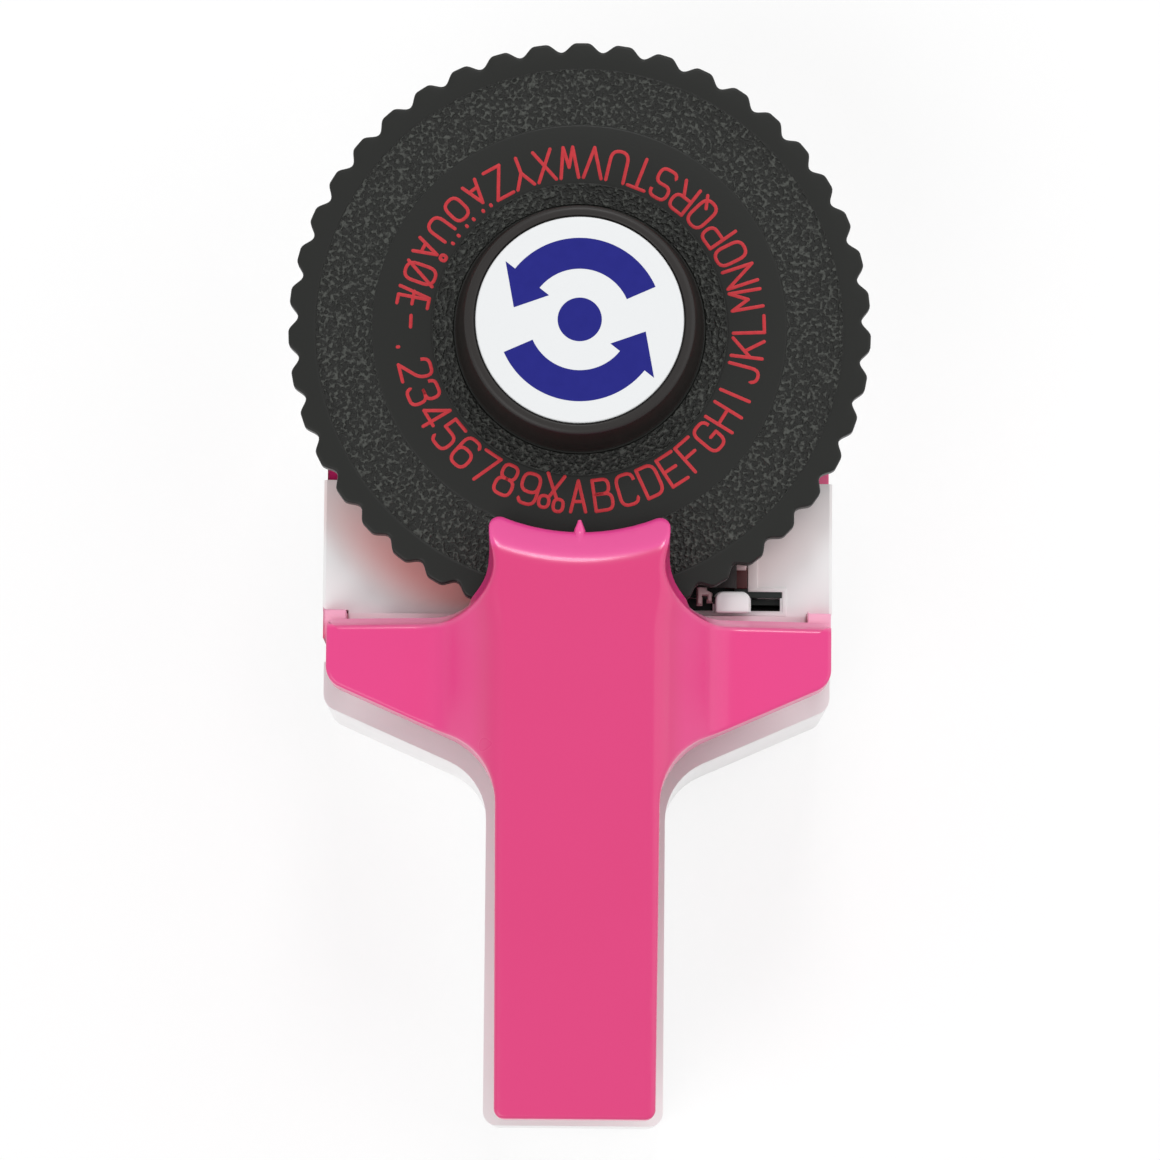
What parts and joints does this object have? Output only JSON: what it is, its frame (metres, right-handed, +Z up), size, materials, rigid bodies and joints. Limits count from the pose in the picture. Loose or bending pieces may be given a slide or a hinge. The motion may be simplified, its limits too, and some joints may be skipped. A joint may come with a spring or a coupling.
{
  "type": "embossing label maker",
  "caption": "Hand-squeezed embossing label maker: toothed letter dial on a white magazine body, pink T-shaped press lever, tape hatch below.",
  "frame": {"origin": "on the letter dial's axis, in the plane that the body rests on", "axes": "+Z up along the dial's axis, +Y from the handle towards the dial, +X to the right seen from above with the handle towards the viewer"},
  "size_m": [0.0826, 0.1535, 0.0505],
  "materials": {
    "white_plastic": "moulded, semi-gloss",
    "pink_plastic": "moulded, glossy",
    "black_plastic": "moulded, stippled bands",
    "dark_plastic": "moulded, matte",
    "tape_vinyl": "smooth vinyl tape",
    "badge_white": "printed disc, satin",
    "steel": "drawn or stamped, bright"
  },
  "bodies": {
    "housing": {"lower_housing": "white_plastic", "top_deck": "white_plastic", "grip_plate": "white_plastic", "door_pin": "steel", "case_screw_front_right": "steel", "case_screw_front_left": "steel", "case_screw_middle_left": "steel", "case_screw_grip_front": "steel", "case_screw_grip_rear": "steel", "dial_spindle": "white_plastic", "spindle_washer": "steel", "spindle_screw": "steel", "lever_pin_right": "steel", "lever_pin_left": "steel", "return_spring": "steel", "tape_strip": "tape_vinyl", "tape_guide": "dark_plastic", "feed_rail": "dark_plastic", "anvil_block": "steel", "click_spring": "steel", "click_spring_rivet": "steel"},
    "lever": {"press_lever": "pink_plastic", "press_pad": "dark_plastic"},
    "dial": {"letter_dial": "black_plastic", "matrix_disc": "black_plastic", "dial_knob": "black_plastic", "badge_disc": "badge_white", "cutter_blade": "steel"},
    "feed": {"feed_slider": "white_plastic", "feed_finger": "steel"},
    "roll": {"tape_roll": "tape_vinyl"},
    "door": {"tape_door": "white_plastic"}
  },
  "joints": [
    {"name": "lever_squeeze", "type": "hinge", "parent": "housing", "child": "lever", "pos_m": [0, -0.014, 0.027], "axis": [1, 0, 0], "range_deg": [0, 7.5], "stiffness_Nm_per_rad": 1.2, "springref_deg": -6.3, "deforming": ["return_spring"]},
    {"name": "dial_spin", "type": "hinge", "parent": "housing", "child": "dial", "pos_m": [0, 0, 0.04], "axis": [0, 0, 1], "continuous": true},
    {"name": "feed_slide", "type": "slide", "parent": "housing", "child": "feed", "axis": [1, 0, 0], "range_m": [0, 0.0038]},
    {"name": "roll_turn", "type": "hinge", "parent": "housing", "child": "roll", "pos_m": [0.0084, -0.0318, 0.0162], "axis": [0, 1, 0], "continuous": true},
    {"name": "door_hinge", "type": "hinge", "parent": "housing", "child": "door", "pos_m": [0, -0.021, 0.0015], "axis": [1, 0, 0], "range_deg": [0, 100]}
  ],
  "couplings": [
    {"joint": "feed_slide", "follows": "lever_squeeze", "m_per_rad": 0.029}
  ]
}
